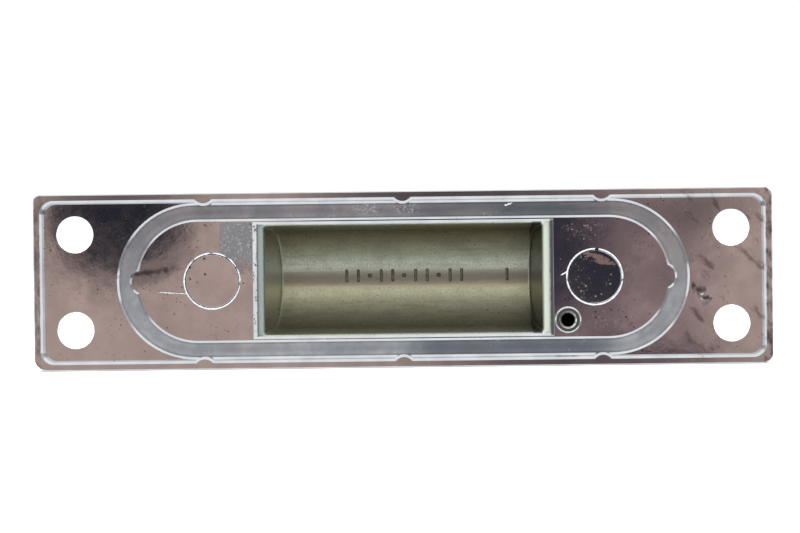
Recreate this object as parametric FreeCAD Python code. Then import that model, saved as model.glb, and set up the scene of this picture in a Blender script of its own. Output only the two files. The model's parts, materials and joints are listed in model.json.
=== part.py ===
import FreeCAD, Part
import math
import os

# A chromed cover plate for a door: a shallow rimmed casting with a sealing groove round an island on
# its back, and a hollow half-round barrel that is riveted to its front and opens through a window in
# the island.
#
# Sizes are in millimetres. The shapes are drawn on a flat frame, x along the plate, y up the plate and
# z the depth in front of the back rim. They are then stood up: X along the plate, Z up, and -Y out of
# the door. The origin is the middle of the plate's back rim, in the plane that meets the door. Left and
# right are those of a person facing the door.

Vector = FreeCAD.Vector

# Plate
LENGTH = 135.0
HEIGHT = 32.4
THICKNESS = 5.0
CORNER_RADII = (1.6, 1.3, 2.4, 2.0)  # upper left, upper right, lower right, lower left: hand polished
SIDE_LEAN = 0.15
OUTER_EDGE_ROUND = 0.2

# Rim and the floor inside it
RIM_WIDTH = 1.3
RIM_INNER_RADIUS = 2.6
RIM_EDGE_ROUND = 0.2
RIM_CHAMFER_WIDTH = 0.4
RIM_CHAMFER_DROP = 0.3
RIM_WALL_LEAN = 0.2
FLOOR_DEPTH = 1.4

# Sealing groove, an obround channel round the island; its straight sides carry on from the rim's wall
GROOVE_DEPTH = 3.3
GROOVE_OUTER_RADIUS = HEIGHT / 2 - RIM_WIDTH - RIM_CHAMFER_WIDTH - RIM_WALL_LEAN
GROOVE_OUTER_CENTRE = 38.1
ISLAND_RADIUS = 10.9
ISLAND_CENTRE = 37.6
GROOVE_EDGE_WIDTH = 0.4
GROOVE_EDGE_DROP = 0.22
GROOVE_WALL_LEAN = 0.25

# Nibs that pinch the seal: six on the rim, two on the ends of the island
RIM_NIB_PITCH = 36.3
RIM_NIB_WIDTH = 3.0
RIM_NIB_REACH = 0.75
ISLAND_NIB_WIDTH = 3.9
ISLAND_NIB_REACH = 1.2
NIB_LEAN = 0.3

# Seal bedded in the groove
SEAL_EDGE_DEPTH = 1.85
SEAL_HOLLOW = 0.15
SEAL_INSET = 0.3

# Fixing holes
HOLE_DIAMETER = 6.6
HOLE_PITCH_X = 120.0
HOLE_PITCH_Y = 17.5
HOLE_EDGE = 0.1

# Window in the island, with ramped edges, and the rebate that takes the barrel's collar
WINDOW_LENGTH = 55.0
WINDOW_HEIGHT = 20.5
WINDOW_END_RAMP = 0.8
WINDOW_SIDE_CHAMFER_WIDTH = 0.45
WINDOW_SIDE_CHAMFER_DROP = 0.3
COLLAR_DEPTH = 2.5
COLLAR_LENGTH = 54.0
COLLAR_HEIGHT = 21.8

# Barrel
BARREL_LENGTH = 51.2
BARREL_HEIGHT = 19.8
BARREL_DEPTH = 18.5
BARREL_STRAIGHT_DEPTH = 14.0
BARREL_WALL = 1.5
BARREL_SIDE_DRAFT = 5.0
BARREL_END_DRAFT = 6.5
BARREL_SHOULDER_ROUND = 9.0  # inside
BARREL_END_ROUND = 2.2
BARREL_MOUTH_ROUND = 0.8
BARREL_CORNER_ROUND = 0.4

# Flange of the barrel, an obround seat on the front of the plate
FLANGE_RADIUS = 13.0
FLANGE_CENTRE = 31.5
FLANGE_THICKNESS = 1.8
FLANGE_EDGE_ROUND = 0.6
FLANGE_BLEND_ROUND = 0.8

# Rivets that hold the flange
RIVET_PITCH = 70.0
RIVET_DIAMETER = 10.0
RIVET_END_CHAMFER = 0.25
RIVET_HEAD_DIAMETER = 13.0
RIVET_HEAD_HEIGHT = 1.9
LEFT_RIVET_TILT = -3.0  # its end is dressed this many degrees out of square

# Threaded bush
BUSH_X = -30.0
BUSH_Y = -7.8
BUSH_DIAMETER = 4.9
BUSH_TOP_DEPTH = 0.5
BUSH_EDGE_ROUND = 0.4
THREAD_CORE_DIAMETER = 2.5
THREAD_DEPTH = 4.0
THREAD_CHAMFER = 0.35

PAST = 1.0  # how far a cutting solid runs past the face that it opens
MATCH = 1e-4  # how closely a picked edge lies in the plane asked for


def rounded_rectangle(length, height, radii, z):
    """A closed wire with a radius for each corner, clockwise from the corner at -x, +y."""
    corners = ((-1, 1), (1, 1), (1, -1), (-1, -1))
    arcs = []
    for (side_x, side_y), start, radius in zip(corners, (180, 90, 0, -90), radii):
        centre = Vector(side_x * (length / 2 - radius), side_y * (height / 2 - radius), z)
        turns = [math.radians(start - step) for step in (0, 45, 90)]
        arcs.append([centre + Vector(radius * math.cos(turn), radius * math.sin(turn), 0) for turn in turns])
    edges = []
    for index, points in enumerate(arcs):
        following = arcs[(index + 1) % len(arcs)]
        edges.append(Part.Arc(*points).toShape())
        edges.append(Part.LineSegment(points[2], following[0]).toShape())
    return Part.Wire(edges)


def rectangle(length, height, z):
    corners = ((-1, 1), (1, 1), (1, -1), (-1, -1), (-1, 1))
    return Part.makePolygon([Vector(side_x * length / 2, side_y * height / 2, z) for side_x, side_y in corners])


def obround(radius, centre, z):
    """A closed wire of two half circles about x = -centre and x = +centre, joined by straight sides."""
    left = Part.Arc(Vector(-centre, -radius, z), Vector(-centre - radius, 0, z), Vector(-centre, radius, z))
    right = Part.Arc(Vector(centre, radius, z), Vector(centre + radius, 0, z), Vector(centre, -radius, z))
    top = Part.LineSegment(Vector(-centre, radius, z), Vector(centre, radius, z))
    bottom = Part.LineSegment(Vector(centre, -radius, z), Vector(-centre, -radius, z))
    return Part.Wire([left.toShape(), top.toShape(), right.toShape(), bottom.toShape()])


def through(*wires):
    """The solid with straight sides that passes from each wire to the next one of the same kind."""
    return Part.makeLoft(list(wires), True, True)


def turned(x, y, *profile):
    """A solid turned about a line along z, from (radius, z) pairs."""
    points = [Vector(x, y, profile[0][1])]
    points += [Vector(x + radius, y, z) for radius, z in profile]
    points += [Vector(x, y, profile[-1][1]), points[0]]
    return Part.Face(Part.makePolygon(points)).revolve(Vector(x, y, 0), Vector(0, 0, 1), 360)


def block(length, height, z, z_end):
    """A box centred on the depth axis."""
    return Part.makeBox(length, height, z_end - z, Vector(-length / 2, -height / 2, z))


def segment_radius(width, reach):
    """The radius of a circle whose slice of this width stands out by reach."""
    return (width**2 / 4 + reach**2) / (2 * reach)


def edges_at(shape, z):
    """The edges of a shape that lie at one depth."""
    found = []
    for edge in shape.Edges:
        box = edge.BoundBox
        if abs(box.ZMin - z) < MATCH and abs(box.ZMax - z) < MATCH:
            found.append(edge)
    return found


def plate_outline():
    back_length = LENGTH - 2 * SIDE_LEAN
    back_height = HEIGHT - 2 * SIDE_LEAN
    back = rounded_rectangle(back_length, back_height, CORNER_RADII, 0)
    return through(back, rounded_rectangle(LENGTH, HEIGHT, CORNER_RADII, THICKNESS))


def floor_recess():
    """What the casting leaves open inside its rim, down to the floor: a chamfer, then a steeper wall."""
    wall_top = RIM_WIDTH + RIM_CHAMFER_WIDTH
    wires = []
    for inset, z in ((RIM_WIDTH, 0), (wall_top, RIM_CHAMFER_DROP), (wall_top + RIM_WALL_LEAN, FLOOR_DEPTH)):
        radius = RIM_INNER_RADIUS - (inset - RIM_WIDTH) / 2
        wires.append(rounded_rectangle(LENGTH - 2 * inset, HEIGHT - 2 * inset, (radius,) * 4, z))
    return through(*wires)


def rim_nibs():
    """Six half-round nibs, from the rim down to the foot of the groove, that reach over the groove."""
    radius = segment_radius(RIM_NIB_WIDTH, RIM_NIB_REACH)
    flank = radius + RIM_CHAMFER_WIDTH
    edge = HEIGHT / 2 - RIM_WIDTH
    nibs = []
    for x in (-RIM_NIB_PITCH, 0, RIM_NIB_PITCH):
        for side in (-1, 1):
            y = side * (edge - RIM_NIB_REACH + radius)
            nibs.append(turned(x, y, (radius, 0), (flank, RIM_CHAMFER_DROP), (flank + NIB_LEAN, GROOVE_DEPTH)))
    return nibs


def groove_wall(radius, way):
    """(radius, depth) of a groove wall: a chamfer at the floor, then a slight lean to its foot."""
    edge = radius + way * GROOVE_EDGE_WIDTH
    foot = edge + way * GROOVE_WALL_LEAN
    return (radius, FLOOR_DEPTH), (edge, FLOOR_DEPTH + GROOVE_EDGE_DROP), (foot, GROOVE_DEPTH)


def island():
    """The raised middle of the floor, below floor level, with a nib on each of its ends."""
    walls = groove_wall(ISLAND_RADIUS, 1)
    solid = through(*[obround(radius, ISLAND_CENTRE, z) for radius, z in walls])
    nib_radius = segment_radius(ISLAND_NIB_WIDTH, ISLAND_NIB_REACH)
    reach = ISLAND_CENTRE + ISLAND_RADIUS + ISLAND_NIB_REACH
    nibs = [turned(side * (reach - nib_radius), 0, *groove_wall(nib_radius, 1)) for side in (-1, 1)]
    return solid.fuse(nibs)


def groove():
    """The space of the sealing groove, below the floor."""
    walls = groove_wall(GROOVE_OUTER_RADIUS, -1)
    space = through(*[obround(radius, GROOVE_OUTER_CENTRE, z) for radius, z in walls])
    return space.cut(rim_nibs() + [island()])


def window():
    """The window, and under its lip the rebate for the barrel's collar."""
    throat_length = WINDOW_LENGTH - 2 * WINDOW_END_RAMP
    throat_depth = FLOOR_DEPTH + WINDOW_END_RAMP
    mouth = rectangle(WINDOW_LENGTH, WINDOW_HEIGHT, FLOOR_DEPTH)
    ramps = through(mouth, rectangle(throat_length, WINDOW_HEIGHT, throat_depth))
    chamfered_height = WINDOW_HEIGHT + 2 * WINDOW_SIDE_CHAMFER_WIDTH
    chamfer_foot = FLOOR_DEPTH + WINDOW_SIDE_CHAMFER_DROP
    chamfered_length = WINDOW_LENGTH - 2 * WINDOW_SIDE_CHAMFER_DROP
    chamfers = through(
        rectangle(WINDOW_LENGTH, chamfered_height, FLOOR_DEPTH),
        rectangle(chamfered_length, WINDOW_HEIGHT, chamfer_foot),
    )
    throat = block(throat_length, WINDOW_HEIGHT, throat_depth, COLLAR_DEPTH + PAST)
    rebate = block(COLLAR_LENGTH, COLLAR_HEIGHT, COLLAR_DEPTH, THICKNESS + PAST)
    return ramps.fuse([chamfers, throat, rebate])


def eased_hole(x, y, radius):
    """A hole through the floor with a small chamfer at both ends."""
    return turned(
        x,
        y,
        (radius + HOLE_EDGE, FLOOR_DEPTH - PAST),
        (radius + HOLE_EDGE, FLOOR_DEPTH),
        (radius, FLOOR_DEPTH + HOLE_EDGE),
        (radius, THICKNESS - HOLE_EDGE),
        (radius + HOLE_EDGE, THICKNESS),
        (radius + HOLE_EDGE, THICKNESS + PAST),
    )


def rivet_hole(x):
    """A rivet's hole, with the chamfer that leaves a ring round the rivet's dressed end."""
    radius = RIVET_DIAMETER / 2
    mouth = radius + RIVET_END_CHAMFER
    return turned(x, 0, (mouth, FLOOR_DEPTH), (radius, FLOOR_DEPTH + RIVET_END_CHAMFER), (radius, THICKNESS + PAST))


def cover_plate():
    blank = plate_outline()
    blank = blank.makeFillet(OUTER_EDGE_ROUND, edges_at(blank, 0) + edges_at(blank, THICKNESS))
    body = blank.cut([floor_recess(), groove()])
    body = body.fuse([nib.common(blank) for nib in rim_nibs()])
    inside_rim = [edge for edge in edges_at(body, 0) if is_inside_rim(edge)]
    body = body.makeFillet(RIM_EDGE_ROUND, inside_rim)
    openings = [window(), turned(BUSH_X, BUSH_Y, (BUSH_DIAMETER / 2, 0), (BUSH_DIAMETER / 2, THICKNESS + PAST))]
    for side_x in (-1, 1):
        openings.append(rivet_hole(side_x * RIVET_PITCH / 2))
        for side_y in (-1, 1):
            openings.append(eased_hole(side_x * HOLE_PITCH_X / 2, side_y * HOLE_PITCH_Y / 2, HOLE_DIAMETER / 2))
    return body.cut(openings).removeSplitter()


def is_inside_rim(edge):
    """Whether an edge of the rim's top face is on its inner side."""
    middle = RIM_WIDTH / 2
    box = edge.BoundBox
    along = max(abs(box.XMin), abs(box.XMax))
    across = max(abs(box.YMin), abs(box.YMax))
    return along < LENGTH / 2 - middle and across < HEIGHT / 2 - middle


def leaning(half_width, draft, z):
    """What a half width at the collar comes to at another depth, for walls with this draft."""
    return half_width - (z - COLLAR_DEPTH) * math.tan(math.radians(draft))


def barrel_bar(half_height, depth, start, half_length, shoulder_round):
    """A long bar with the barrel's section: leaning sides, round shoulders and an arc across its bottom."""
    low = leaning(half_height, BARREL_SIDE_DRAFT, BARREL_STRAIGHT_DEPTH)
    high = leaning(half_height, BARREL_SIDE_DRAFT, start)
    upper = Vector(-half_length, high, start)
    upper_shoulder = Vector(-half_length, low, BARREL_STRAIGHT_DEPTH)
    bottom = Vector(-half_length, 0, depth)
    lower_shoulder = Vector(-half_length, -low, BARREL_STRAIGHT_DEPTH)
    lower = Vector(-half_length, -high, start)
    edges = [
        Part.LineSegment(upper, upper_shoulder).toShape(),
        Part.Arc(upper_shoulder, bottom, lower_shoulder).toShape(),
        Part.LineSegment(lower_shoulder, lower).toShape(),
        Part.LineSegment(lower, upper).toShape(),
    ]
    bar = Part.Face(Part.Wire(edges)).extrude(Vector(2 * half_length, 0, 0))
    shoulders = [edge for edge in edges_at(bar, BARREL_STRAIGHT_DEPTH) if edge.BoundBox.XLength > PAST]
    return bar.makeFillet(shoulder_round, shoulders)


def between_ends(half_length, depth, start):
    """The slab between the barrel's two leaning ends."""
    top = leaning(half_length, BARREL_END_DRAFT, start)
    low = leaning(half_length, BARREL_END_DRAFT, depth)
    corners = ((-top, start), (top, start), (low, depth), (-low, depth), (-top, start))
    outline = Part.makePolygon([Vector(x, -HEIGHT, z) for x, z in corners])
    return Part.Face(outline).extrude(Vector(0, 2 * HEIGHT, 0))


def end_edges(solid, start):
    """The edges round the two ends of a barrel, without those at its mouth."""
    found = []
    for edge in solid.Edges:
        box = edge.BoundBox
        if box.XLength < 2 and box.ZMax > start + MATCH:
            found.append(edge)
    return found


def barrel_hollow():
    """The space inside the barrel, open past its mouth."""
    start = COLLAR_DEPTH - PAST
    bar = barrel_bar(BARREL_HEIGHT / 2, BARREL_DEPTH, start, BARREL_LENGTH / 2 + PAST, BARREL_SHOULDER_ROUND)
    hollow = bar.common(between_ends(BARREL_LENGTH / 2, BARREL_DEPTH + PAST, start))
    return hollow.makeFillet(BARREL_CORNER_ROUND, end_edges(hollow, start))


def barrel_outside():
    """The barrel as it stands out of the flange, with its shoulders and ends rounded over."""
    depth = BARREL_DEPTH + BARREL_WALL
    half_length = BARREL_LENGTH / 2 + BARREL_WALL
    shoulder_round = BARREL_SHOULDER_ROUND + BARREL_WALL
    bar = barrel_bar(BARREL_HEIGHT / 2 + BARREL_WALL, depth, THICKNESS, half_length + PAST, shoulder_round)
    outside = bar.common(between_ends(half_length, depth + PAST, THICKNESS))
    return outside.makeFillet(BARREL_END_ROUND, end_edges(outside, THICKNESS))


def flange():
    front = THICKNESS + FLANGE_THICKNESS
    back_wire = obround(FLANGE_RADIUS, FLANGE_CENTRE, THICKNESS)
    solid = through(back_wire, obround(FLANGE_RADIUS - SIDE_LEAN, FLANGE_CENTRE, front))
    return solid.makeFillet(FLANGE_EDGE_ROUND, edges_at(solid, front))


def barrel_shell():
    front = THICKNESS + FLANGE_THICKNESS
    shell = flange().fuse(barrel_outside())
    foot = [edge for edge in edges_at(shell, front) if edge.BoundBox.XMax < 28 and edge.BoundBox.XMin > -28]
    shell = shell.makeFillet(FLANGE_BLEND_ROUND, foot)
    shell = shell.fuse(block(COLLAR_LENGTH, COLLAR_HEIGHT, COLLAR_DEPTH, THICKNESS + PAST))
    radius = RIVET_DIAMETER / 2
    holes = [turned(side * RIVET_PITCH / 2, 0, (radius, 0), (radius, BARREL_DEPTH)) for side in (-1, 1)]
    shell = shell.cut(holes + [barrel_hollow()])
    mouth_ends = []
    for edge in edges_at(shell, COLLAR_DEPTH):
        across = edge.BoundBox.XLength < MATCH
        inner = abs(edge.BoundBox.Center.x) < BARREL_LENGTH / 2 + MATCH
        if across and inner:
            mouth_ends.append(edge)
    return shell.makeFillet(BARREL_MOUTH_ROUND, mouth_ends).removeSplitter()


def rivet(x, tilt):
    """A rivet: a low domed head on the flange, and an end dressed off at the island's floor."""
    radius = RIVET_DIAMETER / 2
    seat = THICKNESS + FLANGE_THICKNESS
    shank = turned(x, 0, (radius, 0), (radius, seat))
    dressed = block(2 * HEIGHT, 2 * HEIGHT, -HEIGHT, FLOOR_DEPTH)
    dressed.rotate(Vector(0, 0, FLOOR_DEPTH), Vector(0, 1, 0), tilt)
    dressed.translate(Vector(x, 0, 0))
    shank = shank.cut(dressed)
    rim = [edge for edge in shank.Edges if edge.BoundBox.ZMax < THICKNESS and len(edge.Vertexes) == 1]
    shank = shank.makeChamfer(RIVET_END_CHAMFER, rim)
    sphere_radius = segment_radius(RIVET_HEAD_DIAMETER, RIVET_HEAD_HEIGHT)
    dome = Part.makeSphere(sphere_radius, Vector(x, 0, seat + RIVET_HEAD_HEIGHT - sphere_radius))
    head = dome.common(block(LENGTH, HEIGHT, seat, seat + HEIGHT))
    return shank.fuse(head).removeSplitter()


def threaded_bush():
    """A plain bush with a blind tapped hole, standing a little above the island."""
    radius = BUSH_DIAMETER / 2
    bush = turned(BUSH_X, BUSH_Y, (radius, BUSH_TOP_DEPTH), (radius, THICKNESS))
    bush = bush.makeFillet(BUSH_EDGE_ROUND, edges_at(bush, BUSH_TOP_DEPTH))
    core = THREAD_CORE_DIAMETER / 2
    bore = turned(
        BUSH_X,
        BUSH_Y,
        (core + THREAD_CHAMFER, BUSH_TOP_DEPTH - PAST),
        (core + THREAD_CHAMFER, BUSH_TOP_DEPTH),
        (core, BUSH_TOP_DEPTH + THREAD_CHAMFER),
        (core, BUSH_TOP_DEPTH + THREAD_DEPTH),
    )
    return bush.cut(bore)


def obround_bar(radius, centre, bend, z):
    """A round bar that follows an obround with this bend radius."""
    pieces = []
    for side in (-1, 1):
        pieces.append(Part.makeCylinder(radius, 2 * centre, Vector(-centre, side * bend, z), Vector(1, 0, 0)))
        ring = Part.makeTorus(bend, radius, Vector(side * centre, 0, z), Vector(0, 0, 1))
        reach = bend + 2 * radius
        corner = Vector(side * centre - (reach if side < 0 else 0), -reach, z - reach)
        pieces.append(ring.common(Part.makeBox(reach, 2 * reach, 2 * reach, corner)))
    return pieces[0].fuse(pieces[1:])


def groove_seal():
    """The seal: it fills the foot of the groove, and its top is hollowed along the middle."""
    seal = groove().cut(block(LENGTH, HEIGHT, FLOOR_DEPTH - PAST, SEAL_EDGE_DEPTH))
    width = GROOVE_OUTER_RADIUS - ISLAND_RADIUS - 2 * (GROOVE_EDGE_WIDTH + SEAL_INSET)
    radius = segment_radius(width, SEAL_HOLLOW)
    centre = (GROOVE_OUTER_CENTRE + ISLAND_CENTRE) / 2
    bend = (GROOVE_OUTER_RADIUS + ISLAND_RADIUS) / 2
    return seal.cut(obround_bar(radius, centre, bend, SEAL_EDGE_DEPTH + SEAL_HOLLOW - radius))


def stand(shape):
    """Turns a shape from the flat drawing frame to its place on the door."""
    placed = shape.copy()
    placed.rotate(Vector(0, 0, 0), Vector(1, 0, 0), 90)
    return placed


def main():
    nodes = {
        "cover_plate": cover_plate(),
        "barrel_shell": barrel_shell(),
        "left_rivet": rivet(-RIVET_PITCH / 2, LEFT_RIVET_TILT),
        "right_rivet": rivet(RIVET_PITCH / 2, 0),
        "threaded_bush": threaded_bush(),
        "groove_seal": groove_seal(),
    }
    os.makedirs("parts", exist_ok=True)
    for name, shape in nodes.items():
        print(name, "valid" if shape.isValid() else "NOT VALID", len(shape.Solids), round(shape.Volume, 2))
        stand(shape).exportStep(f"parts/{name}.step")


main()
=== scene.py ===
import json
import math
import random
import bpy
from mathutils import Matrix, Vector

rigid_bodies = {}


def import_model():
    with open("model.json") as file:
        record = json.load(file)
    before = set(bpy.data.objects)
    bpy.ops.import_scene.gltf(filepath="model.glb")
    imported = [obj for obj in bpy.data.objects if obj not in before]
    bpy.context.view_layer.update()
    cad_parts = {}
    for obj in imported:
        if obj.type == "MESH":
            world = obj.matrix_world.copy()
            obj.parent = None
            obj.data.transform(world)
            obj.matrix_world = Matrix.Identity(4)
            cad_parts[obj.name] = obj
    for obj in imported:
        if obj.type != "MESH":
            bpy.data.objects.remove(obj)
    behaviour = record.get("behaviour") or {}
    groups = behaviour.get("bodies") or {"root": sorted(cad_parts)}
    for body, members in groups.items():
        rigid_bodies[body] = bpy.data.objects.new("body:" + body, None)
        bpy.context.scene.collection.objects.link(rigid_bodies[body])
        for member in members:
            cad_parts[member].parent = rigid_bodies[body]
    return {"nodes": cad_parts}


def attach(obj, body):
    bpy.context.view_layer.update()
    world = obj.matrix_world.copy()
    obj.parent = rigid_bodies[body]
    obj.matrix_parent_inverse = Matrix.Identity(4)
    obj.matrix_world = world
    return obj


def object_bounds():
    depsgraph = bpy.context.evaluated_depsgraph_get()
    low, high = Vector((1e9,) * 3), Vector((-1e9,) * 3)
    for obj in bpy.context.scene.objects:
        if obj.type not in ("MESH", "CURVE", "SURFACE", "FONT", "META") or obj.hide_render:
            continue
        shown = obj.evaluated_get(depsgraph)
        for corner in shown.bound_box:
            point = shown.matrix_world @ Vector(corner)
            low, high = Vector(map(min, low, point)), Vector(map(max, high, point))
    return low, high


# A chromed door cover plate with a half-round barrel, seen from behind. The CAD model's frame is kept: X
# along the plate, Z up, +Y out of the plate's back towards the camera. Blender works in metres; the sizes
# here are in millimetres, and so are the coordinates inside the materials.

MM = 0.001

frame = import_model()
cad_low, cad_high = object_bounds()

# Camera: square to the plate's back rim, opposite a point a little to the side of its middle.
CAMERA_DISTANCE = 347.5
CAMERA_FOOT = Vector((-9.7, 0, 5.2))
CAMERA_LENS = 85.85
CAMERA_SENSOR = 36.0
CAMERA_SHIFT = (-0.0701, -0.0208)
CAMERA_ROLL = math.radians(-0.67)

# Places on the CAD model
FLOOR_Y = -1.4
BACK_DEPTHS = (-1.9, -1.7)  # metal goes over from its polished outside to its unpolished back between these
HOLES = (60.0, 8.75)
RIVET_X = 35.0
RIVET_RADIUS = 5.0
BUSH = (-30.0, -7.8)
TROUGH_RADIUS = 11.05
TROUGH_CENTRE_Y = -7.45
TROUGH_END = 23.7
MOUTH_Y = -2.5
SHOULDER_CENTRE = (0.3, -9.5)
SHOULDER_MIDDLE = 9.75  # the radius half-way through the wall
SIDE_MIDDLE = 10.4  # half-way through the side walls
END_MIDDLE = 26.35  # half-way through the end walls, at the mouth
END_SLOPE = math.tan(math.radians(6.5))
NEAR_MOUTH = 2.0  # down to this depth below the mouth, all that lies between the side walls is inside

# Roughness
POLISHED = 0.035
RIM_ROUGHNESS = 0.11

# The marks on the trough's bottom
FIRST_MARK_X = 11.3
LONE_MARK_X = -19.4
MARK_SPACING = 2.2
MARK_HEIGHT = 0.22
MARK_SUNK = 0.03
MARK_Z = 0.45
BAR_LENGTH = 1.9
BAR_HALF_WIDTH = 0.3
DOT_LENGTH = 0.02
DOT_HALF_WIDTH = 0.42

# The seal's edges and what lies on it
SEAL_Y = -1.85
FLECK_Y = -1.72

rng = random.Random(7)


def clear_scene():
    for thing in list(bpy.data.objects):
        if thing.type in {"LIGHT", "CAMERA"} or thing.name == "Cube":
            bpy.data.objects.remove(thing)


def make_camera():
    data = bpy.data.cameras.new("camera")
    data.lens = CAMERA_LENS
    data.sensor_width = CAMERA_SENSOR
    data.shift_x, data.shift_y = CAMERA_SHIFT
    data.clip_start = 0.01
    data.clip_end = 20
    camera = bpy.data.objects.new("camera", data)
    camera.location = (CAMERA_FOOT + Vector((0, CAMERA_DISTANCE, 0))) * MM
    turn = Vector((0, -1, 0)).to_track_quat("-Z", "Y").to_matrix().to_4x4()
    turn = turn @ Matrix.Rotation(CAMERA_ROLL, 4, "Z")
    camera.rotation_euler = turn.to_euler()
    bpy.context.scene.collection.objects.link(camera)
    bpy.context.scene.camera = camera


def grey(value):
    return (value, value, value, 1.0)


def srgb(red, green, blue, gain=1.0):
    """A linear colour from 0 to 255 display values."""
    parts = []
    for value in (red, green, blue):
        share = value / 255
        parts.append(gain * (share / 12.92 if share <= 0.04045 else ((share + 0.055) / 1.055) ** 2.4))
    return (*parts, 1.0)


class Nodes:
    """Adds shader nodes to a tree and links them; an input is a number, colour or another node's socket."""

    def __init__(self, tree):
        self.tree = tree
        tree.nodes.clear()

    def add(self, kind, inputs=(), **settings):
        made = self.tree.nodes.new("ShaderNode" + kind)
        for name, value in settings.items():
            setattr(made, name, value)
        for name, value in dict(inputs).items():
            self.feed(made.inputs[name], value)
        return made

    def feed(self, socket, value):
        if isinstance(value, bpy.types.NodeSocket):
            self.tree.links.new(value, socket)
        else:
            socket.default_value = value

    def math(self, operation, first, second=0.0, third=0.0):
        return self.add("Math", {0: first, 1: second, 2: third}, operation=operation).outputs[0]

    def ramp(self, value, low, high):
        """0 at low, 1 at high, smooth between them; low may be the larger number."""
        if low > high:
            return self.math("SUBTRACT", 1.0, self.ramp(value, high, low))
        inputs = {"Value": value, "From Min": low, "From Max": high}
        return self.add("MapRange", inputs, interpolation_type="SMOOTHSTEP").outputs["Result"]

    def blend(self, factor, first, second):
        """A number that goes from first to second."""
        inputs = {"Value": factor, "To Min": first, "To Max": second}
        return self.add("MapRange", inputs).outputs["Result"]

    def mix(self, factor, first, second):
        """A colour that goes from first to second."""
        made = self.add("Mix", {"Factor": factor}, data_type="RGBA")
        colours = [socket for socket in made.inputs if socket.type == "RGBA"]
        self.feed(colours[0], first)
        self.feed(colours[1], second)
        return [socket for socket in made.outputs if socket.type == "RGBA"][0]

    def both(self, *masks):
        result = masks[0]
        for mask in masks[1:]:
            result = self.math("MULTIPLY", result, mask)
        return result

    def either(self, *masks):
        result = masks[0]
        for mask in masks[1:]:
            result = self.math("MAXIMUM", result, mask)
        return result

    def inverse(self, mask):
        return self.math("SUBTRACT", 1.0, mask)

    def scaled(self, vector, x, y, z):
        return self.add("VectorMath", {0: vector, 1: (x, y, z)}, operation="MULTIPLY").outputs[0]

    def noise(self, vector, size, detail=3.0, roughness=0.55):
        """Noise from about 0 to 1 with features of this size."""
        inputs = {"Vector": vector, "Scale": 1 / size, "Detail": detail, "Roughness": roughness}
        return self.add("TexNoise", inputs).outputs["Fac"]

    def spots(self, across, up, spacing, radius, share):
        """Round spots, one to a cell of this spacing, in this share of the cells."""
        flat = self.add("CombineXYZ", {"X": across, "Y": up}).outputs[0]
        cells = self.add("TexVoronoi", {"Vector": flat, "Scale": 1 / spacing}, voronoi_dimensions="2D")
        chance = self.add("SeparateColor", {"Color": cells.outputs["Color"]}).outputs[0]
        near = self.ramp(cells.outputs["Distance"], radius / spacing, 0.5 * radius / spacing)
        return self.both(near, self.ramp(chance, 1 - share, 1 - share + 0.02))

    def absolute(self, value):
        return self.math("ABSOLUTE", value)

    def centred(self, noise):
        """Noise from about -0.5 to 0.5."""
        return self.math("SUBTRACT", noise, 0.5)

    def hypot(self, first, second):
        squares = self.math("ADD", self.math("POWER", first, 2.0), self.math("POWER", second, 2.0))
        return self.math("SQRT", squares)

    def ellipse(self, across, up, centre, half, soft, ragged=0.0, amount=1.0):
        """1 inside an ellipse, 0 outside it; ragged, times amount, adds to the distance from its centre."""
        first = self.math("DIVIDE", self.math("SUBTRACT", across, centre[0]), half[0])
        second = self.math("DIVIDE", self.math("SUBTRACT", up, centre[1]), half[1])
        reach = self.math("ADD", self.hypot(first, second), self.math("MULTIPLY", ragged, amount))
        return self.ramp(reach, 1.0 + soft, 1.0 - soft)

    def box(self, across, up, low, high, soft):
        """1 inside a rectangle and 0 outside it."""
        edges = []
        for value, start, end in ((across, low[0], high[0]), (up, low[1], high[1])):
            edges.append(self.ramp(value, start - soft, start + soft))
            edges.append(self.ramp(value, end + soft, end - soft))
        return self.both(*edges)

    def bump(self, height):
        """A normal for a surface that stands out by height millimetres."""
        inputs = {"Height": height, "Distance": MM, "Strength": 1.0}
        return self.add("Bump", inputs).outputs["Normal"]

    def sum(self, *terms):
        """The sum of (socket, factor) pairs."""
        total = 0.0
        for socket, factor in terms:
            total = self.math("MULTIPLY_ADD", socket, factor, total)
        return total


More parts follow.
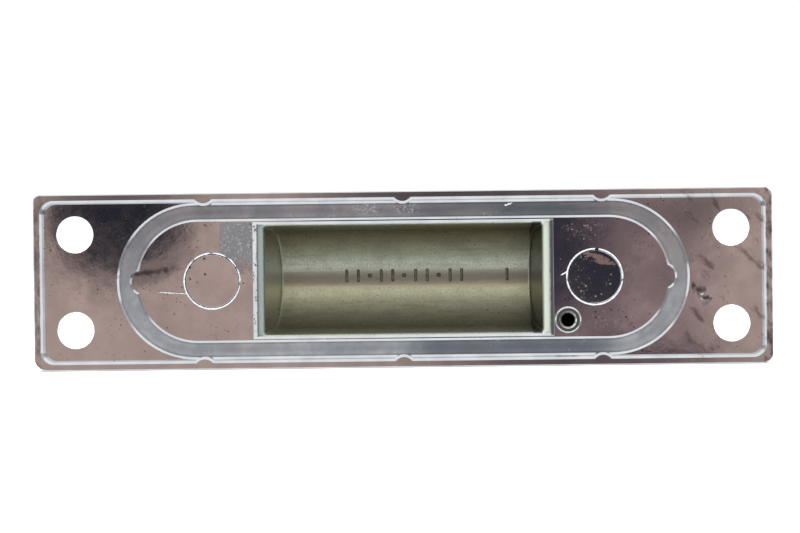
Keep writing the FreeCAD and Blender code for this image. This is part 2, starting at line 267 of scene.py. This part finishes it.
def make_world():
    """What the chrome mirrors. Angles are in degrees: side and rise from straight behind the camera,
    front_side from straight in front of the plate."""
    world = bpy.data.worlds.new("studio")
    bpy.context.scene.world = world
    world.use_nodes = True
    n = Nodes(world.node_tree)
    direction = n.add("TexCoord").outputs["Generated"]
    split = n.add("SeparateXYZ", {"Vector": direction}).outputs
    side = n.math("DEGREES", n.math("ARCTAN2", n.math("MULTIPLY", split["X"], -1.0), split["Y"]))
    front_side = n.math("DEGREES", n.math("ARCTAN2", split["X"], n.math("MULTIPLY", split["Y"], -1.0)))
    rise = n.math("DEGREES", n.math("ARCSINE", split["Z"]))
    rough = n.centred(n.noise(direction, 0.04, 4.0))
    fine = n.centred(n.noise(direction, 0.012, 4.0, 0.65))
    streaks = n.noise(n.scaled(direction, 40.0, 1.0, 9.0), 1.0, 3.0)

    def patch(centre, half, soft, ragged, amount):
        return n.ellipse(side, rise, centre, half, soft, ragged, amount)

    # A bright room with a grey band below the camera's level and a paler one above it, but not behind it.
    colour = srgb(238, 251, 255, 1.3)
    aside = n.ramp(n.absolute(side), 22, 32)
    low_band = n.both(n.ramp(rise, -34, -25), n.ramp(rise, -5, -11), aside)
    high_band = n.both(n.ramp(rise, 9, 14), n.ramp(rise, 34, 25), aside)
    colour = n.mix(n.both(low_band, n.blend(streaks, 1.0, 0.7)), colour, srgb(136, 139, 146))
    colour = n.mix(n.both(high_band, n.blend(streaks, 0.5, 1.0)), colour, srgb(168, 171, 178))
    # Behind the camera: a brown wall with mauve clouds and dark shapes.
    wall = n.mix(n.ramp(streaks, 0.35, 0.7), srgb(210, 191, 182), srgb(192, 174, 167))
    colour = n.mix(patch((0, 0), (24, 17), 0.25, rough, 0.3), colour, wall)
    clouds = n.ramp(n.noise(n.scaled(direction, 1.0, 1.0, 1.6), 0.03, 4.0, 0.62), 0.4, 0.62)
    mauve = n.mix(clouds, srgb(100, 88, 97), srgb(180, 157, 158))
    colour = n.mix(n.both(patch((4.4, -0.8), (3.2, 3.6), 0.4, fine, 0.9), 0.9), colour, mauve)
    colour = n.mix(n.both(patch((7.2, 1.2), (1.7, 0.7), 0.5, fine, 0.8), 0.8), colour, srgb(108, 97, 100))
    colour = n.mix(patch((-10.1, 1.2), (2.2, 2.0), 0.16, fine, 0.8), colour, srgb(36, 41, 53))
    colour = n.mix(patch((-0.2, 0.3), (4.5, 3.2), 0.14, fine, 0.5), colour, srgb(54, 56, 68))
    colour = n.mix(patch((4.4, -4.65), (4.6, 1.8), 0.2, fine, 0.6), colour, srgb(52, 50, 68))
    # In front of the plate: a grey room with a darker band just below the plate's level.
    room = n.ellipse(front_side, rise, (0, 4), (64, 34), 0.35)
    colour = n.mix(room, colour, srgb(176, 179, 184))
    band = n.ellipse(front_side, rise, (8, -5), (46, 7), 0.3)
    colour = n.mix(band, colour, srgb(118, 121, 128))
    background = n.add("Background", {"Color": colour, "Strength": 1.0})
    plain = n.add("Background", {"Color": grey(1.0), "Strength": 1.1})
    seen = n.add("LightPath").outputs["Is Camera Ray"]
    shader = n.add("MixShader", {0: seen, 1: background.outputs[0], 2: plain.outputs[0]})
    n.add("OutputWorld", {"Surface": shader.outputs[0]})


def make_floor():
    bpy.ops.mesh.primitive_plane_add(size=8, location=(0, 0, cad_low.z))
    floor = bpy.context.object
    floor.name = "floor"
    material = bpy.data.materials.new("floor_white")
    material.use_nodes = True
    n = Nodes(material.node_tree)
    paint = {"Base Color": grey(0.9), "Roughness": 0.9}
    glow = {"Emission Color": grey(1.0), "Emission Strength": 0.14}
    shader = n.add("BsdfPrincipled", {**paint, **glow})
    n.add("OutputMaterial", {"Surface": shader.outputs[0]})
    floor.data.materials.append(material)
    floor.visible_glossy = False


def make_lights():
    data = bpy.data.lights.new("softbox", "AREA")
    data.shape = "DISK"
    data.size = 1.2
    data.energy = 30.0
    light = bpy.data.objects.new("softbox", data)
    light.location = (0.1, 0.5, 1.2)
    light.rotation_euler = (Vector((0, 0, 0)) - light.location).to_track_quat("-Z", "Y").to_euler()
    light.visible_glossy = False
    bpy.context.scene.collection.objects.link(light)


class Material(Nodes):
    """A material as it is built up, mask by mask: colour, roughness and height at a place in millimetres."""

    def __init__(self, name):
        self.material = bpy.data.materials.new(name)
        self.material.use_nodes = True
        super().__init__(self.material.node_tree)
        self.place = self.scaled(self.add("TexCoord").outputs["Object"], 1 / MM, 1 / MM, 1 / MM)
        split = self.add("SeparateXYZ", {"Vector": self.place}).outputs
        self.x, self.y, self.z = split["X"], split["Y"], split["Z"]

    def paint(self, mask, colour, amount=1.0):
        """Go over to this colour inside the mask."""
        self.colour = self.mix(self.both(mask, amount), self.colour, colour)

    def roughen(self, mask, roughness):
        """Go over to this roughness inside the mask."""
        self.roughness = self.blend(mask, self.roughness, roughness)

    def keep_rough(self, mask, roughness):
        """Be no smoother than this inside the mask."""
        self.roughness = self.either(self.roughness, self.both(mask, roughness))

    def emboss(self, *terms):
        """Add the sum of (mask, height) pairs to the height."""
        self.height = self.sum((self.height, 1.0), *terms)

    def plate(self):
        """The colour and height of the chrome that all castings share, as on their unpolished backs."""
        wave = self.noise(self.place, 9.0, 2.0)
        ripple = self.noise(self.place, 1.6, 2.0)
        grain = self.noise(self.place, 0.35, 2.0, 0.6)
        tone = self.noise(self.place, 5.0, 3.0)
        self.height = self.sum((wave, 0.012), (ripple, 0.0022), (grain, 0.0006))
        self.colour = self.mix(self.ramp(tone, 0.3, 0.75), srgb(212, 206, 206), srgb(196, 190, 192))

    def leave_unpolished(self):
        """Set the roughness of chrome that was not polished after it was plated."""
        self.roughness = self.blend(self.noise(self.place, 2.5, 4.0), 0.02, 0.1)

    def finished(self, metallic=1.0):
        """The material, once its colour, roughness and height have been set."""
        inputs = {
            "Base Color": self.colour,
            "Metallic": metallic,
            "Roughness": self.roughness,
            "Normal": self.bump(self.height),
        }
        shader = self.add("BsdfPrincipled", inputs)
        self.add("OutputMaterial", {"Surface": shader.outputs[0]})
        return self.material


def add_dull_patch(m, ragged):
    """A dull, grainy rectangle on the island beside the window."""
    torn_edge = m.ramp(m.sum((m.z, 1.0), (ragged, 9.0)), 0.0, 5.0)
    dull = m.both(m.box(m.x, m.z, (27.6, 1.2), (33.4, 10.6), 0.12), torn_edge)
    grains = m.ramp(m.noise(m.place, 0.42, 2.0, 0.7), 0.54, 0.68)
    m.paint(dull, srgb(136, 137, 142), 0.75)
    m.paint(m.both(dull, grains), srgb(212, 214, 218), 0.75)
    m.roughen(dull, 0.4)


def add_smear(m, back, ragged):
    """A dark smear that starts at the island's left end and thins out."""
    slope = m.sum((m.z, 1.0), (m.x, 0.16))
    smear = m.ellipse(m.x, slope, (46.2, 9.15), (4.4, 0.6), 0.7, ragged, 2.8)
    cloud = m.ellipse(m.x, slope, (46.6, 9.0), (3.6, 1.6), 0.8, ragged, 3.2)
    smear = m.both(m.either(smear, m.both(cloud, 0.45)), back)
    m.paint(smear, srgb(58, 54, 56), 0.9)
    m.roughen(smear, 0.25)


def add_stains(m, back, ragged):
    """Slanting stains in the right-hand half, and the burst blister's dark hollows."""
    right = m.ramp(m.x, -46.0, -54.0)
    along = m.sum((m.x, 0.5), (m.z, 0.5))
    across = m.sum((m.x, -1.1), (m.z, 1.1))
    slanted = m.add("CombineXYZ", {"X": along, "Z": across}).outputs[0]
    stains = m.both(m.ramp(m.noise(slanted, 3.6, 4.0, 0.62), 0.54, 0.7), right, back)
    m.paint(stains, srgb(104, 90, 90), 0.65)
    hollows = m.either(
        m.ellipse(m.x, m.z, (-54.1, -2.7), (0.8, 0.5), 0.6, ragged, 3.0),
        m.ellipse(m.x, m.z, (-55.3, -4.15), (0.8, 0.35), 0.6, ragged, 3.0),
        m.ellipse(m.x, m.z, (-52.9, -1.9), (0.35, 0.6), 0.6, ragged, 2.4),
    )
    hollows = m.both(hollows, back)
    m.paint(hollows, srgb(64, 58, 58), 0.85)
    m.roughen(hollows, 0.25)
    m.emboss((hollows, -0.012))


def add_pits_and_specks(m, back, ragged):
    """Dark pits, thicker in clouds, with a few bright specks and three hazes of small spots."""
    clouds = m.ramp(m.noise(m.place, 8.0, 2.0), 0.42, 0.62)
    on_floor = m.ramp(m.absolute(m.math("SUBTRACT", m.y, FLOOR_Y)), 0.04, 0.02)
    pits = m.either(m.spots(m.x, m.z, 1.4, 0.22, 0.14), m.spots(m.x, m.z, 0.8, 0.14, 0.12))
    pits = m.both(pits, on_floor, m.blend(clouds, 0.15, 1.0))
    dots = m.both(m.spots(m.x, m.z, 1.2, 0.13, 0.08), m.ramp(m.noise(m.place, 5.0, 2.0), 0.5, 0.6))
    specks = m.both(dots, back, m.ramp(m.x, 40.0, 24.0), 0.5)
    hazes = m.either(
        m.ellipse(m.x, m.z, (-32.6, 8.6), (3.6, 1.6), 0.7, ragged, 2.0),
        m.ellipse(m.x, m.z, (-37.5, -7.6), (4.0, 1.9), 0.7, ragged, 2.0),
        m.ellipse(m.x, m.z, (-41.5, 0.6), (1.3, 2.0), 0.7, ragged, 2.0),
    )
    haze_grain = m.ramp(m.noise(m.place, 0.6, 3.0, 0.7), 0.53, 0.7)
    haze = m.both(hazes, m.either(m.spots(m.x, m.z, 0.7, 0.2, 0.3), haze_grain), back)
    m.paint(haze, srgb(206, 196, 200), 0.6)
    m.roughen(haze, 0.26)
    m.paint(pits, srgb(92, 78, 76), 0.75)
    m.paint(specks, srgb(228, 226, 230))
    m.roughen(specks, 0.3)
    m.emboss((pits, -0.001), (specks, 0.002))


def dull_rim(m):
    """The rim's flat top, less bright than the rest, with dark mottles on its two ends."""
    rim = m.ramp(m.y, -0.12, -0.04)
    mottled = m.ramp(m.noise(m.scaled(m.place, 1.4, 1.0, 0.7), 2.2, 4.0, 0.6), 0.38, 0.66)
    rim_ends = m.both(rim, mottled, m.ramp(m.absolute(m.x), 65.3, 65.9))
    m.paint(m.both(rim_ends, m.blend(m.ramp(m.x, 60.0, -60.0), 0.55, 0.8)), srgb(62, 60, 68))
    m.keep_rough(rim, RIM_ROUGHNESS)


def whiten_hole_walls(m):
    """The cut walls of the fixing holes, made pale and matt; returns their mask."""
    beyond_x = m.math("SUBTRACT", m.absolute(m.x), HOLES[0])
    beyond_z = m.math("SUBTRACT", m.absolute(m.z), HOLES[1])
    drilled = m.both(m.ramp(m.hypot(beyond_x, beyond_z), 3.6, 3.5), m.ramp(m.y, -1.42, -1.5))
    m.paint(drilled, srgb(250, 250, 252))
    m.roughen(drilled, 0.5)
    return drilled


def ramp_flecks_and_highlight(m, ragged):
    """The ramps at the window's ends: dark flecks on the left one, a painted highlight on the right one."""
    below_floor = m.ramp(m.y, FLOOR_Y - 0.01, FLOOR_Y - 0.05)
    left_ramp = m.both(m.box(m.x, m.z, (26.6, -10.3), (27.6, 10.3), 0.08), below_floor)
    flecks = m.ramp(m.noise(m.scaled(m.place, 0.5, 1.0, 1.0), 0.7, 3.0, 0.7), 0.56, 0.64)
    inner_line = m.ramp(m.sum((m.x, 1.0), (ragged, 0.3)), 26.92, 26.82)
    m.paint(m.both(left_ramp, m.either(flecks, inner_line)), srgb(58, 54, 56), 0.8)
    right_ramp = m.both(m.box(m.x, m.z, (-27.6, -10.6), (-26.5, 10.6), 0.08), below_floor)
    inner_edge = m.ramp(m.sum((m.x, 1.0), (ragged, 0.4)), -27.05, -26.75)
    # The right ramp: a painted highlight along its inner edge and the throat wall, going over to darker
    # grey-mauve outwards.
    m.paint(right_ramp, m.mix(inner_edge, srgb(96, 88, 90), srgb(214, 220, 206)), 0.9)
    m.keep_rough(right_ramp, 0.4)


def casting_chrome():
    """Bright plating over a rough casting: pits, specks and dull patches on the back, polished outside."""
    m = Material("casting_chrome")
    back = m.ramp(m.y, *BACK_DEPTHS)
    ragged = m.centred(m.noise(m.place, 1.2, 4.0, 0.65))
    m.plate()
    m.height = m.both(m.height, m.blend(back, 0.12, 1.0))
    m.leave_unpolished()
    add_dull_patch(m, ragged)
    add_smear(m, back, ragged)
    add_stains(m, back, ragged)
    add_pits_and_specks(m, back, ragged)
    dull_rim(m)
    m.roughness = m.blend(back, POLISHED, m.roughness)
    drilled = whiten_hole_walls(m)
    ramp_flecks_and_highlight(m, ragged)
    return m.finished(metallic=m.inverse(m.both(drilled, 0.9)))


def inside_barrel(m):
    """1 on the barrel's inside and 0 on its outside; the limits run half-way through its walls."""
    outward = m.math("MAXIMUM", m.math("SUBTRACT", m.absolute(m.z), SHOULDER_CENTRE[0]), 0.0)
    deep = m.math("MINIMUM", m.math("SUBTRACT", m.y, SHOULDER_CENTRE[1]), 0.0)
    end_reach = m.sum((m.absolute(m.x), 1.0), (m.math("SUBTRACT", MOUTH_Y, m.y), END_SLOPE))
    within_shoulders = m.math("LESS_THAN", m.hypot(outward, deep), SHOULDER_MIDDLE)
    within_ends = m.math("LESS_THAN", end_reach, END_MIDDLE)
    within_walls = m.math("LESS_THAN", m.absolute(m.z), SIDE_MIDDLE)
    near_mouth = m.math("GREATER_THAN", m.y, MOUTH_Y - NEAR_MOUTH)
    return m.both(within_walls, m.either(m.both(within_shoulders, within_ends), near_mouth))


def bare_nickel(m):
    """Yellowish nickel, satin and pitted: paler up its sides; painted shade on its bottom and its right end.
    """
    streaks = m.noise(m.scaled(m.place, 0.09, 1.0, 1.0), 0.7, 4.0, 0.65)
    mottle = m.noise(m.place, 3.0, 4.0, 0.6)
    grain = m.noise(m.place, 0.4, 3.0, 0.6)
    m.colour = m.mix(m.ramp(mottle, 0.3, 0.7), srgb(182, 179, 164), srgb(166, 163, 150))
    m.paint(m.ramp(streaks, 0.48, 0.7), srgb(140, 135, 120), 0.5)
    m.paint(m.ramp(m.absolute(m.z), 6.0, 9.0), srgb(226, 224, 212), 0.35)
    m.paint(m.both(m.ramp(m.z, 0.5, -1.5), m.ramp(m.z, -6.5, -3.5)), srgb(198, 184, 142), 0.5)
    shadow_reach = m.sum((m.absolute(m.z), 1.0), (mottle, 1.4), (grain, 1.0), (streaks, 1.0))
    m.paint(m.ramp(shadow_reach, 3.6, 2.0), srgb(126, 124, 116), 0.7)
    m.paint(m.ramp(grain, 0.48, 0.62), srgb(130, 126, 110), 0.3)

    # Painted light and shade on the end walls: the left one is painted pale, the right one painted dark.
    left_end = m.ramp(m.x, TROUGH_END - 0.1, TROUGH_END + 0.1)
    right_end = m.ramp(m.x, 0.1 - TROUGH_END, -0.1 - TROUGH_END)
    m.paint(left_end, srgb(206, 204, 190), 0.7)
    m.paint(right_end, srgb(84, 86, 80), 0.8)

    pits = m.either(m.spots(m.x, m.z, 1.1, 0.17, 0.14), m.spots(m.x, m.z, 0.6, 0.1, 0.14))
    pits = m.both(pits, m.blend(m.ramp(m.noise(m.place, 4.0, 2.0), 0.42, 0.58), 0.1, 1.0))
    m.paint(pits, srgb(88, 82, 70), 0.7)
    sparkle = m.both(m.spots(m.x, m.z, 0.6, 0.11, 0.3), m.ramp(m.z, 0.8, 1.8), m.ramp(m.z, 5.5, 3.5))
    m.paint(sparkle, srgb(236, 238, 230), 0.6)

    # Painted highlights on the mouth's ends: near-white on the right end, pale grey on the left end.
    mouth_highlights = m.both(m.ramp(m.y, -3.7, -3.3), m.ramp(m.absolute(m.x), 25.3, 25.5))
    m.paint(m.both(mouth_highlights, m.ramp(m.x, 0.0, -1.0)), srgb(246, 246, 232))
    m.paint(m.both(mouth_highlights, m.ramp(m.x, 0.0, 1.0)), srgb(184, 189, 184))
    m.roughness = m.either(m.blend(mottle, 0.28, 0.42), m.both(mouth_highlights, 0.5))
    m.height = m.sum((grain, 0.02), (streaks, 0.009), (pits, -0.012))


def barrel_plating():
    """Bright chrome outside and bare nickel inside."""
    m = Material("barrel_plating")
    inside = inside_barrel(m)
    m.plate()
    chrome_colour = m.colour
    chrome_height = m.height
    bare_nickel(m)
    m.colour = m.mix(inside, chrome_colour, m.colour)
    m.roughness = m.blend(inside, POLISHED, m.roughness)
    m.height = m.sum((m.both(inside, m.height), 1.0), (m.both(m.inverse(inside), chrome_height), 0.08))
    return m.finished()


def rivet_chrome():
    """Plating on the rivets' dressed ends: pits on one, specks and a stain on the other; polished heads."""
    m = Material("rivet_chrome")
    m.plate()
    m.leave_unpolished()
    back = m.ramp(m.y, *BACK_DEPTHS)
    dark_end = m.both(m.ramp(m.x, -20.0, -25.0), back)
    pits = m.both(m.spots(m.x, m.z, 1.4, 0.3, 0.3), m.ramp(m.z, -1.5, 1.5), m.inverse(dark_end), back)
    dots = m.either(m.spots(m.x, m.z, 0.9, 0.26, 0.25), m.spots(m.x, m.z, 0.5, 0.14, 0.2))
    specks = m.both(dots, m.ramp(m.noise(m.place, 1.8, 3.0), 0.42, 0.6), dark_end)
    ragged = m.centred(m.noise(m.scaled(m.place, 0.7, 1.0, 1.5), 1.1, 4.0, 0.65))
    slope = m.sum((m.z, 1.0), (m.x, -0.35))
    stain = m.both(m.ellipse(m.x, slope, (-35.9, 15.7), (2.4, 0.75), 0.5, ragged, 4.2), dark_end)
    m.paint(pits, srgb(88, 74, 74), 0.8)
    m.paint(specks, srgb(176, 176, 186), 0.6)
    m.paint(stain, srgb(150, 124, 120), 0.8)
    m.keep_rough(specks, 0.26)
    m.keep_rough(stain, 0.28)
    m.roughness = m.blend(back, POLISHED, m.roughness)
    m.height = m.sum((m.height, m.blend(back, 0.1, 0.8)), (pits, -0.004))
    return m.finished()


def bush_nickel():
    """Bright plating with a dull annular end, and painted shade down its bore."""
    m = Material("bush_nickel")
    radius = m.hypot(m.math("SUBTRACT", m.x, BUSH[0]), m.math("SUBTRACT", m.z, BUSH[1]))
    flat = m.both(m.ramp(radius, 1.55, 1.65), m.ramp(radius, 2.25, 2.1))
    shaded_bore = m.both(m.ramp(radius, 1.36, 1.28), m.ramp(m.y, -0.7, -0.95))
    mottle = m.noise(m.place, 0.5, 3.0)
    m.colour = m.mix(m.ramp(mottle, 0.3, 0.7), srgb(236, 238, 234), srgb(214, 217, 212))
    m.paint(flat, srgb(104, 98, 96))
    # Painted shade: the bore's walls are painted near-black.
    m.paint(shaded_bore, srgb(34, 34, 32))
    m.roughness = m.either(m.blend(flat, 0.14, 0.34), m.both(shaded_bore, 0.7))
    m.height = m.sum((mottle, 0.006), (m.noise(m.place, 0.15, 2.0), 0.001))
    return m.finished()


def seal_compound():
    """Satin grey compound, cloudy, with scuffs and a fine grain; painted shade on its top run and its right
    part.
    """
    m = Material("seal_compound")
    cloud = m.noise(m.place, 4.0, 4.0, 0.6)
    tint = m.noise(m.scaled(m.place, 0.3, 1.0, 1.0), 6.0, 3.0)
    grain = m.noise(m.place, 0.3, 3.0, 0.6)
    # Painted light and shade: the seal's top run is painted darker and its bottom run lighter.
    shaded_upper_run = m.mix(m.ramp(cloud, 0.3, 0.7), srgb(142, 134, 136), srgb(120, 117, 121))
    lit_lower_run = m.mix(m.ramp(cloud, 0.3, 0.7), srgb(166, 165, 169), srgb(142, 142, 146))
    m.colour = m.mix(m.ramp(m.z, -4.0, 9.0), lit_lower_run, shaded_upper_run)
    # Painted shade over the stretch of the seal to the right of its middle.
    m.paint(m.both(m.ramp(m.x, 4.0, -8.0), m.ramp(m.x, -42.0, -34.0)), srgb(84, 88, 96), 0.75)
    m.paint(m.ramp(tint, 0.45, 0.7), srgb(158, 142, 136), 0.4)
    scuff_clouds = m.ramp(m.noise(m.place, 2.4, 2.0), 0.54, 0.62)
    scuffs = m.both(m.ramp(m.noise(m.place, 0.4, 3.0, 0.7), 0.58, 0.7), scuff_clouds)
    m.paint(scuffs, srgb(210, 210, 214), 0.4)
    clusters = m.either(
        m.ellipse(m.x, m.z, (6.4, 12.9), (2.4, 0.9), 0.6, m.centred(cloud), 2.0),
        m.ellipse(m.x, m.z, (-0.9, 12.9), (2.6, 0.8), 0.6, m.centred(cloud), 2.0),
    )
    gritty = m.both(clusters, m.ramp(m.noise(m.place, 0.5, 3.0, 0.7), 0.48, 0.6))
    m.paint(gritty, srgb(200, 200, 204), 0.6)
    m.roughness = m.blend(cloud, 0.38, 0.52)
    m.height = m.sum((grain, 0.01), (cloud, 0.05), (gritty, 0.04))
    return m.finished(metallic=0.85)


def bright_burr():
    """Clean torn metal: thin flash and small grains."""
    m = Material("bright_burr")
    mottle = m.noise(m.place, 0.4, 3.0)
    m.colour = m.mix(m.ramp(mottle, 0.3, 0.7), srgb(248, 248, 250), srgb(216, 216, 222))
    m.roughness = m.blend(mottle, 0.2, 0.45)
    m.height = m.sum((mottle, 0.02))
    return m.finished(metallic=0.6)


def shaded_nickel_marks():
    """The nickel of the trough where it stands out, painted darker as painted shade."""
    m = Material("shaded_nickel_marks")
    mottle = m.noise(m.place, 0.5, 3.0)
    # Painted shade: the raised marks are painted darker than the trough's nickel around them.
    m.colour = m.mix(m.ramp(mottle, 0.3, 0.7), srgb(120, 114, 98), srgb(88, 84, 72))
    m.roughness = m.blend(mottle, 0.3, 0.45)
    m.height = m.sum((mottle, 0.008))
    return m.finished()


def dress(node, material):
    target = frame["nodes"][node]
    for slot in target.material_slots:
        slot.material = material


def add_piece(name, vertices, faces, material, slot):
    """A mesh from points in millimetres that belongs to the object."""
    mesh = bpy.data.meshes.new(name)
    mesh.from_pydata([Vector(vertex) * MM for vertex in vertices], [], faces)
    mesh.materials.append(material)
    mesh.shade_smooth()
    piece = bpy.data.objects.new(name, mesh)
    bpy.context.scene.collection.objects.link(piece)
    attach(piece, "root")


def tube(points, radius, ragged=0.25):
    """Vertices and faces of a tube along points that lie roughly across Y, thinner towards its ends."""
    sides = 8
    vertices = []
    faces = []
    for index, point in enumerate(points):
        before = Vector(points[max(index - 1, 0)])
        after = Vector(points[min(index + 1, len(points) - 1)])
        along = (after - before).normalized()
        across = along.cross(Vector((0, 1, 0))).normalized()
        up = across.cross(along)
        from_end = min(index, len(points) - 1 - index)
        size = radius * min(1.0, 0.3 + 0.35 * from_end) * rng.uniform(1 - ragged, 1 + ragged)
        for step in range(sides):
            turn = math.tau * step / sides
            vertices.append(Vector(point) + size * (math.cos(turn) * across + math.sin(turn) * up))
    for index in range(len(points) - 1):
        for step in range(sides):
            first = index * sides + step
            second = index * sides + (step + 1) % sides
            faces.append((first, second, second + sides, first + sides))
    faces.append(tuple(range(sides))[::-1])
    faces.append(tuple(range(len(vertices) - sides, len(vertices))))
    return vertices, faces


def joined(parts):
    """Several (vertices, faces) as one."""
    vertices = []
    faces = []
    for more_vertices, more_faces in parts:
        start = len(vertices)
        vertices.extend(more_vertices)
        faces.extend(tuple(start + index for index in face) for face in more_faces)
    return vertices, faces


def arc(centre_x, radius, start, end, steps, y):
    """Points of an arc in the island's plane; angles in degrees, 0 towards +X and 90 up."""
    points = []
    for step in range(steps + 1):
        turn = math.radians(start + (end - start) * step / steps)
        points.append((centre_x + radius * math.cos(turn), y, radius * math.sin(turn)))
    return points


def lump(centre, half, seed):
    """A small uneven grain: a squashed ball with a bumpy skin."""
    local = random.Random(seed)
    rings = 5
    spokes = 8
    vertices = [Vector((0, -1, 0))]
    for ring in range(1, rings):
        tilt = math.pi * ring / rings
        for spoke in range(spokes):
            turn = math.tau * spoke / spokes
            size = local.uniform(0.75, 1.15)
            flat = size * math.sin(tilt)
            vertices.append(Vector((flat * math.cos(turn), -size * math.cos(tilt), flat * math.sin(turn))))
    vertices.append(Vector((0, 1, 0)))
    faces = []
    for spoke in range(spokes):
        following = (spoke + 1) % spokes
        faces.append((0, 1 + spoke, 1 + following))
        for ring in range(rings - 2):
            low = 1 + ring * spokes
            faces.append((low + following, low + spoke, low + spokes + spoke, low + spokes + following))
        last = 1 + (rings - 2) * spokes
        faces.append((last + following, last + spoke, len(vertices) - 1))
    placed = []
    for vertex in vertices:
        placed.append(Vector(centre) + vertex * Vector(half))
    return placed, faces


def trough_y(z):
    """The height of the trough's bottom at this place across it."""
    return TROUGH_CENTRE_Y - math.sqrt(TROUGH_RADIUS**2 - z**2)


def raised_bar(centre_x, length, half_width):
    """An upright bar with round edges that stands on the trough's bottom."""
    cells_along = 14
    cells_across = 8
    reach = length / 2 + half_width
    vertices = []
    faces = []
    for row in range(cells_along + 1):
        along = reach * (2 * row / cells_along - 1)
        beyond = max(abs(along) - length / 2, 0.0)
        z = MARK_Z + along
        for column in range(cells_across + 1):
            out = half_width * (2 * column / cells_across - 1)
            distance = math.hypot(beyond, out) / half_width
            rise = MARK_HEIGHT * math.sqrt(max(1 - distance**2, 0.0)) - MARK_SUNK
            vertices.append((centre_x + out, trough_y(z) + rise, z))
    for row in range(cells_along):
        for column in range(cells_across):
            low = row * (cells_across + 1) + column
            faces.append((low, low + 1, low + cells_across + 2, low + cells_across + 1))
    return vertices, faces


def add_cast_marks(material):
    """A row of plain index bars and dots on the trough's bottom, two bars to a dot, and one bar apart."""
    parts = []
    for index in range(11):
        x = FIRST_MARK_X - MARK_SPACING * index
        if index % 3 == 2:
            parts.append(raised_bar(x, DOT_LENGTH, DOT_HALF_WIDTH))
        else:
            parts.append(raised_bar(x, BAR_LENGTH, BAR_HALF_WIDTH))
    parts.append(raised_bar(LONE_MARK_X, BAR_LENGTH, BAR_HALF_WIDTH))
    add_piece("cast_marks", *joined(parts), material, "barrel_plating")


def add_flash(material):
    """Burrs round the rivets' ends, a thin line that leads away from one and a tick beside the other."""
    parts = []
    radius = RIVET_RADIUS + 0.1
    for start, end in ((-172, 48), (50, 88), (91, 121), (124, 150), (153, 186)):
        ring = arc(RIVET_X, radius, start, end, (end - start) // 4, FLOOR_Y - 0.05)
        parts.append(tube(ring, 0.13, ragged=0.15))
    line = [(39.4 + 0.15 * step, FLOOR_Y, -2.3 + 0.01 * step) for step in range(38)]
    parts.append(tube(line, 0.05, ragged=0.6))
    for start, end in ((-172, -8), (-4, 92), (98, 186)):
        ring = arc(-RIVET_X, radius, start, end, 60, FLOOR_Y - 0.02)
        parts.append(tube(ring, 0.15))
    tick = [(-30.1 + 0.11 * step, FLOOR_Y + 0.02, 1.05 - 0.06 * step) for step in range(13)]
    parts.append(tube(tick, 0.12, ragged=0.4))
    add_piece("rivet_flash", *joined(parts), material, "rivet_chrome")


def add_trough_lines(material):
    """The parting lines that the core's end pieces leave across the trough."""
    half_length = 8.6
    steps = 40
    lines = []
    for side in (1, -1):
        points = []
        for step in range(steps + 1):
            z = half_length * (2 * step / steps - 1)
            points.append((side * (TROUGH_END - 0.05), trough_y(z) + 0.01, z))
        lines.append(tube(points, 0.07 if side > 0 else 0.05, ragged=0.4))
    add_piece("core_lines", *joined(lines), material, "barrel_plating")


def add_grains(material, bright):
    """Small hard grains caught in the seal, and a fleck of white."""
    parts = []
    for centre_x, spread in ((6.4, 1.6), (-0.9, 1.8), (-30.0, 9.0)):
        for _ in range(12):
            x = rng.gauss(centre_x, spread)
            z = rng.uniform(12.0, 13.4)
            size = rng.uniform(0.05, 0.14)
            parts.append(lump((x, SEAL_Y, z), (size, size * 0.4, size), rng.random()))
    fleck = []
    for step in range(16):
        fleck.append((-18.6 - 0.1 * step, FLECK_Y, 13.25 + 0.03 * step + 0.05 * math.sin(step)))
    add_piece("seal_grains", *joined(parts), material, "seal_compound")
    add_piece("seal_fleck", *tube(fleck, 0.17, ragged=0.45), bright, "seal_compound")


def add_blister(material):
    """A burst blister in the plating of the right-hand corner pocket."""
    parts = []
    for turn in (180, 205, 230, 255, 280, 305, 330):
        angle = math.radians(turn)
        centre = (-55.2 + 0.85 * math.cos(angle), FLOOR_Y, -3.9 + 0.55 * math.sin(angle))
        size = rng.uniform(0.16, 0.24)
        parts.append(lump(centre, (size * 1.4, size * 0.6, size), rng.random()))
    parts.append(lump((-54.6, FLOOR_Y, -3.4), (0.45, 0.12, 0.2), 5))
    parts.append(lump((-53.5, FLOOR_Y, -2.9), (0.2, 0.1, 0.4), 6))
    add_piece("blister", *joined(parts), material, "casting_chrome")


clear_scene()
make_camera()
make_world()
make_floor()
make_lights()
casting = casting_chrome()
barrel = barrel_plating()
rivets = rivet_chrome()
seal = seal_compound()
burr = bright_burr()
dress("cover_plate", casting)
dress("barrel_shell", barrel)
dress("left_rivet", rivets)
dress("right_rivet", rivets)
dress("threaded_bush", bush_nickel())
dress("groove_seal", seal)
add_cast_marks(shaded_nickel_marks())
add_flash(burr)
add_trough_lines(barrel)
add_grains(seal, burr)
add_blister(casting)
bpy.context.scene.view_settings.view_transform = "Standard"
